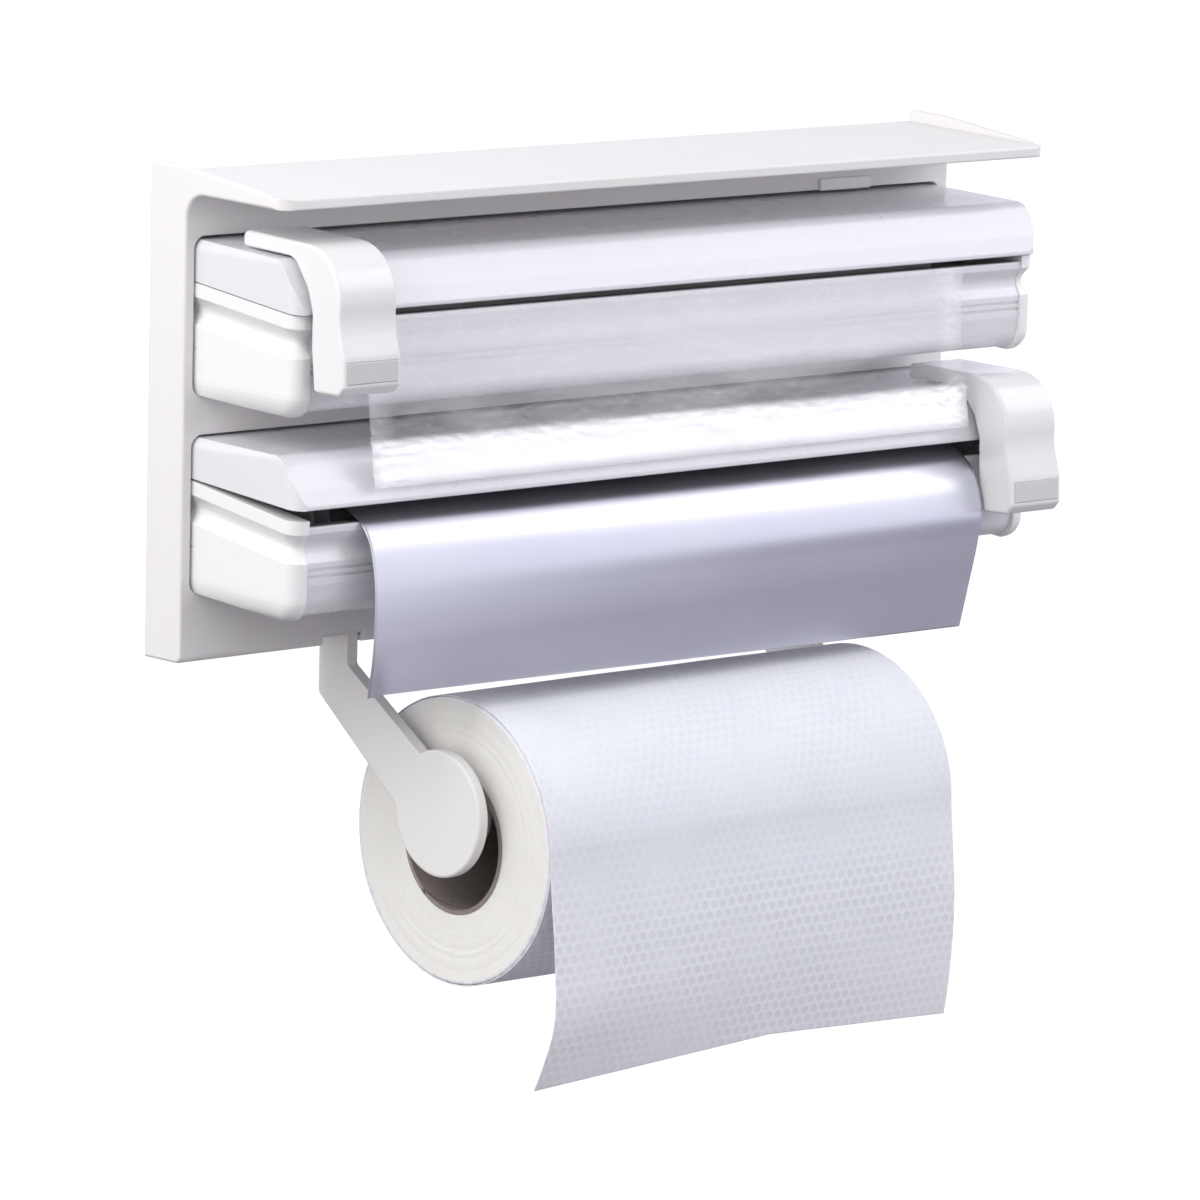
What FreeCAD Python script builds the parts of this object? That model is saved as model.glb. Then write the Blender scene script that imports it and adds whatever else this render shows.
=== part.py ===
import FreeCAD, Part
import math
import os

# Wall-mounted kitchen dispenser: shelf, cling film cassette, foil cassette and paper roll holder.
# Millimetres, +Z up, back plane on y = 0, front toward -Y. Heights below are counted from the
# lower edge; the finished pieces are moved so that the origin is the centre of the four wall
# screw holes, on the back plane.

Vector = FreeCAD.Vector
X_AXIS = Vector(1, 0, 0)
Y_AXIS = Vector(0, 1, 0)

# wall frame
width = 400.0
half = width / 2.0
plate_depth = 20.6
wall = 2.5
front_wall = 3.0
back_wall = 2.4
shelf_reach = 77.6
shelf_back = 185.2
shelf_front = 182.1
shelf_thick = 4.5
shelf_corner = 7.0
shelf_edge_top = 1.2
shelf_edge_low = 0.6
lip_height = 4.8
lip_width = 3.2
clip_left = 127.0
clip_right = 155.0

# bays that hold the two cassettes
bay_height = 61.0
bay_half = 195.5
bay_corner = 5.0
film_bay = 101.5
foil_bay = 26.0
bay_skin = 2.0

# wall screw holes
hole_half = 150.0
hole_z = 30.5
hole_radius = 2.75
centre_pad = 8.0
origin_z = (film_bay + foil_bay) / 2.0 + hole_z

# cassette, section measured from the bay floor
case_half = 194.5
cap_thick = 8.5
cap_corner = 6.5
skin = 2.0
case_back = -6.5
hinge_y = -13.0
hinge_z = 55.2
pin_radius = 1.5
running = 0.05
part_back = 45.2
part_front = 37.0
part_gap = 0.4
ear_x = 187.3
ear_thick = 4.2
cheek_thick = 2.7
lid_shoulder = 5.0
lid_open = 3.5
droop = 1.6
droop_y = -20.6
droop_z = 0.6

# rolls inside the cassettes
roll_y = -38.0
roll_z = 27.0
roll_radius = 22.0
core_radius = 16.5
core_wall = 1.5
roll_left = -160.0
roll_right = 154.0
core_over = 3.0
axle_radius = 4.0
axle_reach = 6.5
plug_depth = 10.0
flange_thick = 1.4
saddle_thick = 2.5

# cutters
cutter_width = 28.0
handle_round = 1.4
film_cutter_x = -189.6
foil_cutter_x = 158.5

# paper roll holder
arm_thick = 5.0
arm_back = -0.5
arm_front = -17.4
arm_head = 14.0
arm_guide = 13.5
arm_bend_back = 3.0
arm_bend_front = 2.0
notch_height = 4.6
disc_y = -72.1
disc_z = -59.0
peg_y = -67.5
peg_z = -60.2
disc_radius = 24.7
disc_round = 1.2
collar_radius = 18.7
collar_height = 1.5
sag = 11.5
paper_z = peg_z - sag
paper_radius = 55.9
paper_core = 28.5
paper_core_wall = 1.7
paper_left = -101.7
paper_right = 111.5
peg_reach = 15.0
peg_radius = paper_core - paper_core_wall - sag - 0.1
left_arm_x = -114.0
right_arm_x = 117.5
arm_travel = 14.0


def box(x0, x1, y0, y1, z0, z1):
    return Part.makeBox(x1 - x0, y1 - y0, z1 - z0, Vector(x0, y0, z0))


def rod(radius, x0, x1, y, z):
    return Part.makeCylinder(radius, x1 - x0, Vector(x0, y, z), X_AXIS)


def span_rod(radius, xa, xb, y, z):
    """Rod between two x positions given in either order."""
    return rod(radius, min(xa, xb), max(xa, xb), y, z)


def tube(outer, inner, x0, x1, y, z):
    return rod(outer, x0, x1, y, z).cut(rod(inner, x0 - 1, x1 + 1, y, z))


def outline(points):
    """Closed YZ wire. A third value rounds that corner."""
    count = len(points)
    corners = []
    for i in range(count):
        here = Vector(0, points[i][0], points[i][1])
        radius = points[i][2] if len(points[i]) > 2 else 0.0
        if radius == 0.0:
            corners.append((here, None, here))
            continue
        last = points[i - 1]
        following = points[(i + 1) % count]
        before = (Vector(0, last[0], last[1]) - here).normalize()
        after = (Vector(0, following[0], following[1]) - here).normalize()
        angle = before.getAngle(after) / 2.0
        run = radius / math.tan(angle)
        centre = here + (before + after).normalize() * (radius / math.sin(angle))
        middle = centre + (here - centre).normalize() * radius
        corners.append((here + before * run, middle, here + after * run))
    edges = []
    for i in range(count):
        start, middle, end = corners[i]
        if middle is not None:
            edges.append(Part.Arc(start, middle, end).toShape())
        next_start = corners[(i + 1) % count][0]
        if (next_start - end).Length > 1e-6:
            edges.append(Part.makeLine(end, next_start))
    return Part.Wire(edges)


def bar(points, x0, x1):
    """Prism along X with the given YZ section."""
    face = Part.Face(outline(points))
    face.translate(Vector(x0, 0, 0))
    return face.extrude(Vector(x1 - x0, 0, 0))


def ribbon(points, thick, x0, x1):
    """Thin curved strip along X that follows the given YZ points."""
    near = []
    far = []
    for i in range(len(points)):
        a = points[max(i - 1, 0)]
        b = points[min(i + 1, len(points) - 1)]
        run = Vector(0, b[0] - a[0], b[1] - a[1]).normalize()
        side = Vector(0, run.z, -run.y) * (thick / 2.0)
        here = Vector(0, points[i][0], points[i][1])
        near.append(here - side)
        far.append(here + side)
    edges = []
    for row in (near, far):
        curve = Part.BSplineCurve()
        curve.interpolate(row)
        edges.append(curve.toShape())
    edges.append(Part.makeLine(near[0], far[0]))
    edges.append(Part.makeLine(near[-1], far[-1]))
    face = Part.Face(Part.Wire(Part.__sortEdges__(edges)))
    face.translate(Vector(x0, 0, 0))
    return face.extrude(Vector(x1 - x0, 0, 0))


def rounded_pocket(x0, x1, z0, z1, y0, y1, radius):
    """Block with its four Y edges rounded."""
    block = box(x0, x1, y0, y1, z0, z1)
    edges = []
    for edge in block.Edges:
        ends = edge.Vertexes
        if abs(ends[0].Point.y - ends[1].Point.y) > 1e-6:
            edges.append(edge)
    return block.makeFillet(radius, edges)


def rounded_post(x0, x1, y0, y1, z0, z1, radius):
    """Block with its four upright edges rounded."""
    block = box(x0, x1, y0, y1, z0, z1)
    return block.makeFillet(radius, [e for e in block.Edges if e.BoundBox.ZLength > z1 - z0 - 1e-6])


def mirrored(shape):
    return shape.mirror(Vector(0, 0, 0), X_AXIS)


def lifted(shape, z):
    moved = shape.copy()
    moved.translate(Vector(0, 0, z))
    return moved


def solids(*shapes):
    return Part.makeCompound(list(shapes))


def soften_ends(shape, x_ends, radius):
    """Round the outline edges of the flat end faces at the given x, except along y = 0."""
    edges = []
    for edge in shape.Edges:
        box_ = edge.BoundBox
        flat = any(abs(box_.XMin - x) < 1e-4 and abs(box_.XMax - x) < 1e-4 for x in x_ends)
        if flat and box_.YMin < -1e-3:
            edges.append(edge)
    return shape.makeFillet(radius, edges)


# ---------------------------------------------------------------- wall frame

def wall_frame():
    underside = shelf_front - shelf_thick
    side = [
        (0, 0),
        (-plate_depth, 0, 2.5),
        (-plate_depth, underside + 1.5, 10),
        (-shelf_reach, underside, shelf_edge_low),
        (-shelf_reach, shelf_front, shelf_edge_top),
        (0, shelf_back),
    ]
    plan = rounded_post(-half, half, -shelf_reach, 60.0, -1.0, shelf_back + 1.0, shelf_corner)
    body = soften_ends(bar(side, -half, half), (-half, half), 1.2).common(plan)
    lip = [
        (-0.1, shelf_back - 2),
        (-shelf_reach + shelf_corner, shelf_front - 1.5),
        (-shelf_reach + shelf_corner, shelf_front + 0.8, 0.4),
        (-plate_depth, shelf_back + lip_height - 1, 12),
        (-0.1, shelf_back + lip_height, 1.5),
    ]
    end_lip = bar(lip, half - lip_width, half)
    end_lip = end_lip.makeFillet(0.9, [e for e in end_lip.Edges if e.BoundBox.XLength < 1e-4
                                       and e.BoundBox.ZMin > shelf_front and e.BoundBox.YLength > 5])
    body = body.fuse([end_lip, mirrored(end_lip)])
    # hollow back, closed off by upright ribs
    inner = half - wall
    shelf_zone = underside - 6.0
    zones = [
        (wall, foil_bay - bay_skin),
        (foil_bay + bay_height + bay_skin, film_bay - bay_skin),
        (film_bay + bay_height + bay_skin, shelf_zone),
    ]
    cells = [(-inner, -67.0), (-65.0, -centre_pad), (centre_pad, 65.0), (67.0, inner)]
    cuts = []
    for z0, z1 in zones:
        for x0, x1 in cells:
            cuts.append(box(x0, x1, -plate_depth + front_wall, 1.0, z0, z1))
    for bay in (film_bay, foil_bay):
        cuts.append(rounded_pocket(-bay_half, bay_half, bay, bay + bay_height,
                                   -plate_depth - 5, -back_wall, bay_corner))
        for x in (-hole_half, hole_half):
            cuts.append(Part.makeCylinder(hole_radius, 10, Vector(x, -5, bay + hole_z), Y_AXIS))
    # notches that the roll arms slide in
    for x0 in (left_arm_x - arm_travel - 1.0, right_arm_x - 1.0):
        cuts.append(box(x0, x0 + arm_thick + arm_travel + 2.0, -plate_depth - 1.0, 1.0, -1.0, notch_height))
    body = body.cut(cuts)
    # pads that the cassettes rest against
    pads = []
    for bay in (film_bay, foil_bay):
        for x in (-90.0, 0.0, 90.0):
            pads.append(box(x - 2.0, x + 2.0, case_back + 0.1, -back_wall, bay + 10.0, bay + 50.0))
    return body.fuse(pads).removeSplitter()


def bay_clip():
    """Spring tab over the upper edge of the film bay, near its right end."""
    top = film_bay + bay_height
    tab = box(clip_left, clip_right, -plate_depth - 1.6, -plate_depth, top - 0.4, top + 4.6)
    return tab.makeFillet(0.7, [e for e in tab.Edges if e.BoundBox.YMin < -plate_depth - 1.5])


# ---------------------------------------------------------------- cassettes

def parting(y, gap=0.0):
    """Height of the line between lid and trough."""
    slope = (part_back - part_front) / 72.0
    return part_front + (y + 80.5) * slope - gap


front_full = -78.5
front_low = -76.5
floor_back = 0.8
floor_front = -2.2
floor_round = 9.0
side_round = 5.5
cove_depth = 2.9
cove_low = 20.5
lip_front = -78.8
lip_low = 31.5
lip_top = 34.3
lip_thick = 3.2
grooves = (14.6, 17.2)
groove_width = 1.0
groove_depth = 0.8
recess = 0.8
saddle_side = [
    (case_back - 1.0, 2.0),
    (-68.0, 0.5),
    (-76.0, 12.0),
    (-62.0, 30.0),
    (case_back - 1.0, 30.0),
]


def case_front(inset):
    """Trough front, from the floor up to the lip, moved inward by inset."""
    return [
        (-21.0, floor_back - 0.2 + inset),
        (front_low + inset, floor_front + inset, floor_round - inset),
        (front_full + inset, 12.0, 4),
        (front_full + inset, cove_low, 1.5),
        (front_full + cove_depth + inset, (cove_low + lip_low) / 2.0, 5),
        (lip_front + inset, lip_low, 1.0),
    ]


def trough():
    x1 = case_half - cap_thick
    outer = [(case_back, floor_back, 0.5)] + case_front(recess)
    outer += [(lip_front + recess, lip_top, 0.8), (lip_front + lip_thick, lip_top, 0.8),
              (lip_front + lip_thick, 32.0), (-70.0, 20.0), (case_back, 44.0)]
    inner = [(case_back - skin, floor_back + skin, 0.5)] + case_front(recess + skin)
    inner += [(lip_front + recess + skin, 31.9), (-71.0, 33.0), (-71.0, 60.0), (case_back - skin, 60.0)]
    body = bar(outer, -x1, x1).cut(bar(inner, -x1 - 1, x1 + 1))
    for z in grooves:
        groove_back = front_full + recess + groove_depth
        body = body.cut(box(-x1 - 1, x1 + 1, front_full - 1, groove_back, z, z + groove_width))
    # saddles for the stub axles of the roll
    for x in (roll_left - core_over - 4.5, roll_right + core_over + 2.0):
        saddle = bar(saddle_side, x, x + saddle_thick)
        saddle = saddle.cut(rod(axle_radius + running, x - 1, x + saddle_thick + 1, roll_y, roll_z))
        saddle = saddle.cut(box(x - 1, x + saddle_thick + 1, roll_y - axle_radius - running,
                                roll_y + axle_radius + running, roll_z, roll_z + 20))
        body = body.fuse(saddle)
    return body.removeSplitter()


def level(z, inset, side_inset):
    """Level outline of the end cap at one height, moved inward from its full size."""
    x0 = case_half - cap_thick
    side = case_half - side_inset
    front = lip_front + inset
    radius = min(cap_corner, 0.75 * (side - x0))
    reach = radius / math.sqrt(2.0)
    corner = Vector(side - radius, front + radius, z)
    spots = [
        Vector(x0, front, z),
        Vector(x0, case_back, z),
        Vector(side, case_back, z),
        corner + X_AXIS * radius,
    ]
    edges = [Part.makeLine(spots[i], spots[i + 1]) for i in range(3)]
    edges.append(Part.Arc(spots[3], corner + Vector(reach, -reach, 0), corner - Y_AXIS * radius).toShape())
    edges.append(Part.makeLine(corner - Y_AXIS * radius, spots[0]))
    return Part.Wire(edges)


def end_cap():
    """Right-hand end of the trough: rim and cove run round the corner and follow the lid line."""
    body_inset = front_full - lip_front
    lower = []
    for step in range(9):
        angle = math.pi / 2.0 * step / 8.0
        tuck = 1 - math.sin(angle)
        lower.append(level(floor_front + floor_round * (1 - math.cos(angle)),
                           body_inset + floor_round * 0.9 * tuck, body_inset + side_round * tuck))
    lower.append(level(cove_low - 2.0, body_inset, body_inset))
    upper = [level(12.0, body_inset, body_inset)]
    cove_steps = 8
    for step in range(cove_steps + 1):
        share = step / cove_steps
        inset = body_inset * (1 - share) + cove_depth * math.sin(math.pi * share)
        upper.append(level(cove_low + (lip_low - cove_low) * share, inset, inset))
    upper.append(level(50.0, 0.0, 0.0))
    slope = (part_back - part_front) / 72.0
    shear = FreeCAD.Matrix(1, 0, 0, 0, 0, 1, 0, 0, 0, slope, 1, -lip_front * slope, 0, 0, 0, 1)
    upper = Part.makeLoft(upper, True, True).transformGeometry(shear)
    cap = Part.makeLoft(lower, True, True).fuse(upper)
    x0 = case_half - cap_thick
    above = [(0, parting(0, part_gap)), (-90, parting(-90, part_gap)), (-90, 80), (0, 80)]
    below = [(0, floor_back), (-21.0, floor_back - 0.2), (-90.0, floor_front - 0.9), (-90, -20), (0, -20)]
    for away in (above, below):
        cap = cap.cut(bar(away, x0 - 1, half))
    # ear that carries the hinge pin, inside the lid
    ear = bar([(hinge_y + 0.9, 40.0), (hinge_y + 2.3, hinge_z), (hinge_y + 2.3, hinge_z + 2.4, 2.2),
               (hinge_y - 4.0, hinge_z + 2.4, 2.2), (hinge_y - 4.0, 40.0)], ear_x, ear_x + ear_thick)
    # locating rib that keys into the trough
    rib = box(x0 - 4.0, x0, -60.0, case_back - skin - 0.1, 6.0, 9.0)
    cap = cap.fuse([ear, rib])
    return cap.cut(rod(pin_radius + 0.01, x0 - 5, case_half + 1, hinge_y, hinge_z)).removeSplitter()


def hinge_pins():
    pin = rod(pin_radius, ear_x - 0.5, case_half - 0.4, hinge_y, hinge_z)
    return solids(pin, mirrored(pin))


lid_outer = [
    (-8.5, part_back, 0.5),
    (-8.5, 60.2, 4),
    (-71.0, 57.2, 8),
    (-78.2, 45.0, 6),
    (-80.5, 38.6, 0.8),
    (-80.5, part_front, 0.5),
]
lid_inner = [
    (-10.5, 30.0),
    (-10.5, 58.2, 2),
    (-70.0, 55.2, 6),
    (-76.0, 45.0, 4),
    (-78.4, 38.6),
    (-78.4, 30.0),
]


def lid():
    body = bar(lid_outer, -case_half, case_half)
    top = lid_outer[1][1]
    body = body.common(rounded_post(-case_half, case_half, lid_outer[-1][0], 20.0, 0.0, 80.0, cap_corner))
    body = body.common(rounded_pocket(-case_half, case_half, 0.0, top, -90.0, 10.0, lid_shoulder))
    cheek = case_half - cheek_thick
    body = body.cut(bar(lid_inner, -cheek, cheek))
    body = body.cut(rod(pin_radius + running, -half, half, hinge_y, hinge_z))
    return body.removeSplitter()


def slot_guide():
    """Dark strip inside the lid, above the slot."""
    end = case_half - cap_thick - 0.05
    side = [
        (-75.2, 42.0),
        (-74.2, 37.2, 1.2),
        (-68.0, 37.2, 1.2),
        (-66.0, 55.2),
        (-67.6, 55.1),
        (-70.0, 50.0),
        (-73.0, 46.5),
    ]
    return bar(side, -end, end)


def lip_strip():
    """Soft strip behind the trough lip that holds the sheet back."""
    end = case_half - cap_thick - 0.05
    front = lip_front + lip_thick + 0.05
    side = [(front, 33.2), (front, lip_top - 0.2, 0.4), (-71.2, lip_top - 0.2, 0.4), (-71.2, 33.2)]
    return bar(side, -end, end)


def cutter_body(x0):
    """Slider: arm over the lid and a waisted handle in front of it."""
    x1 = x0 + cutter_width
    side = [
        (-42.0, 59.4, 1.5),
        (-42.0, 65.6, 2.8),
        (-100.2, 62.8, 21),
        (-98.6, 35.0, 24),
        (-102.0, 23.0, 6),
        (-102.0, 12.0, 2.5),
        (-99.0, 8.8, 2.5),
        (-84.4, 8.8, 2),
        (-82.6, 26.0, 8),
        (-82.6, 38.6, 8),
        (-79.8, 47.0, 6),
        (-71.6, 58.2, 8),
    ]
    body = bar(side, x0, x1)
    handle_edges = []
    for edge in body.Edges:
        limits = edge.BoundBox
        if limits.XLength < 1e-4 and limits.YMax < -84.0 and limits.Center.y < -85.0:
            handle_edges.append(edge)
    body = body.makeFillet(handle_round, handle_edges)
    recess_box = box(x0 + 1.9, x1 - 1.9, -103.0, -101.5, 13.4, 21.6)
    groove = box(x0 + 4.0, x1 - 4.0, -84.6, -82.5, 34.7, 36.7)
    return body.cut([recess_box, groove])


def cutter_label(x0):
    plate = box(x0 + 2.0, x0 + cutter_width - 2.0, -102.3, -101.52, 13.5, 21.5)
    return plate.makeFillet(0.3, [e for e in plate.Edges if e.BoundBox.YMax < -102.29])


blade_half = 0.25


def cutter_shoe(x0):
    """Slide that hooks behind the lid flange, split for the blade."""
    plate = box(x0 + 4.1, x0 + cutter_width - 4.1, -84.5, -76.4, 35.0, 36.4)
    hook = box(x0 + 4.1, x0 + cutter_width - 4.1, -77.7, -76.4, 35.0, 39.4)
    middle = x0 + cutter_width / 2.0
    slit = box(middle - blade_half - 0.05, middle + blade_half + 0.05, -78.6, -70.0, 34.0, 40.0)
    return plate.fuse(hook).cut(slit).removeSplitter()


def cutter_blade(x0):
    middle = x0 + cutter_width / 2.0
    return bar([(-78.5, 35.1), (-78.5, 36.3), (-75.6, 36.3), (-71.8, 35.2), (-75.6, 34.9)],
               middle - blade_half, middle + blade_half)


def roll_core():
    bore = core_radius - core_wall
    return tube(core_radius, bore, roll_left - core_over, roll_right + core_over, roll_y, roll_z)


def roll_winding():
    return tube(roll_radius, core_radius + 0.01, roll_left, roll_right, roll_y, roll_z)


def roll_plugs():
    """End plugs with a flange and a stub axle."""
    inner = core_radius - core_wall - 0.02
    plugs = []
    for end, out in ((roll_left - core_over, -1.0), (roll_right + core_over, 1.0)):
        plug = span_rod(inner, end, end - out * plug_depth, roll_y, roll_z)
        flange = span_rod(core_radius, end + out * 0.02, end + out * flange_thick, roll_y, roll_z)
        neck = span_rod(axle_radius + 2, end - out, end + out, roll_y, roll_z)
        axle = span_rod(axle_radius, end, end + out * axle_reach, roll_y, roll_z)
        plugs.append(plug.fuse([flange, neck, axle]).removeSplitter())
    return solids(*plugs)


film_path = [
    (-46.0, 47.9), (-58.0, 41.8), (-70.0, 35.8), (-73.5, 34.9), (-77.0, 34.7), (-79.15, 34.2),
    (-79.35, 31.5), (-79.4, 26.0), (-79.4, 17.0), (-79.8, 6.0), (-81.2, -6.0), (-83.0, -16.0),
    (-84.2, -24.0), (-84.6, -30.0),
]
foil_path = [
    (-46.0, 48.2), (-58.0, 43.0), (-70.0, 37.4), (-77.0, 34.0), (-81.0, 32.4), (-85.0, 27.5),
    (-87.8, 20.5), (-89.6, 12.0), (-89.8, 3.0), (-88.6, -8.0), (-86.8, -20.0), (-84.9, -32.0),
]


def sheet(path, x0, x1):
    return ribbon(path, 0.3, x0, x1)


# ---------------------------------------------------------------- paper roll holder

def arm(x, sign):
    """Roll arm: guide block, bent strap, disc and peg. Sign points from the arm to the roll."""
    x1 = x + arm_thick
    strap = bar([(arm_back, 10.0), (arm_back, -22.0, arm_bend_back), (-60.5, -68.5), (-80.0, -49.0),
                 (arm_front, -9.0, arm_bend_front), (arm_front, 10.0)], x, x1)
    disc = rod(disc_radius, x, x1, disc_y, disc_z)
    disc = disc.makeFillet(disc_round, [e for e in disc.Edges if e.BoundBox.XLength < 1e-4])
    head = box(x - arm_guide, x1 + arm_guide, arm_front, arm_back, wall + 0.5, arm_head)
    inner = x1 if sign > 0 else x
    reach = inner + sign * peg_reach
    peg = span_rod(peg_radius, inner - sign, reach, peg_y, peg_z)
    peg_end = [e for e in peg.Edges if e.BoundBox.XLength < 1e-4 and abs(e.BoundBox.XMin - reach) < 1e-3]
    peg = peg.makeFillet(2.0, peg_end)
    collar = span_rod(collar_radius, inner - sign, inner + sign * collar_height, peg_y, peg_z)
    return strap.fuse([disc, head, peg, collar]).removeSplitter()


tail_path = [
    (-123.9, -66.0), (-124.3, -80.0), (-126.2, -95.0), (-127.6, -110.0), (-128.0, -122.0),
    (-127.3, -133.0), (-125.6, -142.0), (-123.3, -150.0), (-120.6, -157.5),
]


def paper_tail():
    return ribbon(tail_path, 0.4, paper_left + 0.5, paper_right - 0.5)


# ---------------------------------------------------------------- all nodes

nodes = {
    "wall_frame": wall_frame(),
    "bay_clip": bay_clip(),
    "left_arm": arm(left_arm_x, 1),
    "right_arm": arm(right_arm_x, -1),
    "paper_core": tube(paper_core, paper_core - paper_core_wall, paper_left, paper_right, peg_y, paper_z),
    "paper_winding": tube(paper_radius, paper_core + 0.01, paper_left, paper_right, peg_y, paper_z),
    "paper_tail": paper_tail(),
    "cling_film": lifted(sheet(film_path, -159.5, 152.0), film_bay),
    "foil_sheet": lifted(sheet(foil_path, -161.0, 156.0), foil_bay),
}

case_parts = {
    "trough": trough(),
    "cap_right": end_cap(),
    "cap_left": mirrored(end_cap()),
    "hinge_pins": hinge_pins(),
    "roll_core": roll_core(),
    "roll_winding": roll_winding(),
    "roll_plugs": roll_plugs(),
    "lip_strip": lip_strip(),
}



def seated(shape, bay, tilt):
    """Turn a cassette piece front-down about the lower bay edge and lift it to its bay."""
    turned = shape.copy()
    turned.rotate(Vector(0, droop_y, droop_z), X_AXIS, tilt)
    return lifted(turned, bay)


# name, bay floor, cutter position, lid opening, forward tilt of the whole cassette
cassettes = [
    ("film", film_bay, film_cutter_x, 0.0, 0.0),
    ("foil", foil_bay, foil_cutter_x, lid_open, droop),
]

for name, bay, cutter_x, opening, tilt in cassettes:
    lid_parts = {
        "lid": lid(),
        "slot_guide": slot_guide(),
        "cutter_body": cutter_body(cutter_x),
        "cutter_shoe": cutter_shoe(cutter_x),
        "cutter_blade": cutter_blade(cutter_x),
        "cutter_label": cutter_label(cutter_x),
    }
    for piece, shape in lid_parts.items():
        shape.rotate(Vector(0, hinge_y, hinge_z), X_AXIS, -opening)
        nodes[name + "_" + piece] = seated(shape, bay, tilt)
    for piece, shape in case_parts.items():
        nodes[name + "_" + piece] = seated(shape, bay, tilt)

os.makedirs("parts", exist_ok=True)
for name, shape in nodes.items():
    lifted(shape, -origin_z).exportStep("parts/" + name + ".step")
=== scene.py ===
import math

import bpy
from mathutils import Matrix, Vector, noise


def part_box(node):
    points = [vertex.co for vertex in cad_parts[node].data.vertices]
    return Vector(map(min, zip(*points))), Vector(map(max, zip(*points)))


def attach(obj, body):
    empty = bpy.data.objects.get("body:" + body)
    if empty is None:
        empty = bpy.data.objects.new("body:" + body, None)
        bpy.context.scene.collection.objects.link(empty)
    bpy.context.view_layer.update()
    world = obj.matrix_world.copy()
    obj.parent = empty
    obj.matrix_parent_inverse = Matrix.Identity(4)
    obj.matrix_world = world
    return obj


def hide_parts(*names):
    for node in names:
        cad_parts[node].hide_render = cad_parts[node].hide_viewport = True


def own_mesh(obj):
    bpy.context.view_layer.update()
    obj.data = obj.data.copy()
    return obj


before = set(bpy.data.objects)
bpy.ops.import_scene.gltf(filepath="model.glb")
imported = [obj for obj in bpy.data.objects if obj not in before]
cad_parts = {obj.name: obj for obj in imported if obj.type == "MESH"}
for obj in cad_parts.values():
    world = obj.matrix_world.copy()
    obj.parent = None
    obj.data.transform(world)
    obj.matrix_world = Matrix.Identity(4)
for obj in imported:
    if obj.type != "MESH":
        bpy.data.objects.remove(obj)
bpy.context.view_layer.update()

# Wall-mounted dispenser with a film cassette, a foil cassette and a paper roll. Metres, +Z up,
# front toward -Y. The hard pieces are the CAD nodes; film, foil and paper are built here.

MM = 0.001
scene = bpy.context.scene
scene.view_settings.view_transform = "Standard"
scene.view_settings.look = "None"


# ------------------------------------------------------------------ camera

CAMERA_PLACE = Vector((-1.9657723, -2.2146774, 0.3946212))
CAMERA_TURN = math.radians(42.05765725)
CAMERA_DROP = math.radians(9.29689662)
CAMERA_ROLL = math.radians(1.39340571)
CAMERA_LENS = 226.32

camera_data = bpy.data.cameras.new("camera")
camera_data.lens = CAMERA_LENS
camera_data.sensor_width = 36.0
camera_data.clip_end = 200.0
camera = bpy.data.objects.new("camera", camera_data)
scene.collection.objects.link(camera)
forward = Vector((math.sin(CAMERA_TURN) * math.cos(CAMERA_DROP),
                  math.cos(CAMERA_TURN) * math.cos(CAMERA_DROP), -math.sin(CAMERA_DROP)))
level = Vector((math.cos(CAMERA_TURN), -math.sin(CAMERA_TURN), 0.0))
upright = level.cross(forward)
right = level * math.cos(CAMERA_ROLL) + upright * math.sin(CAMERA_ROLL)
up = upright * math.cos(CAMERA_ROLL) - level * math.sin(CAMERA_ROLL)
turned = Matrix((right, up, -forward)).transposed().to_4x4()
camera.matrix_world = Matrix.Translation(CAMERA_PLACE) @ turned
scene.camera = camera


# ------------------------------------------------------------------ shader helper

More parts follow.
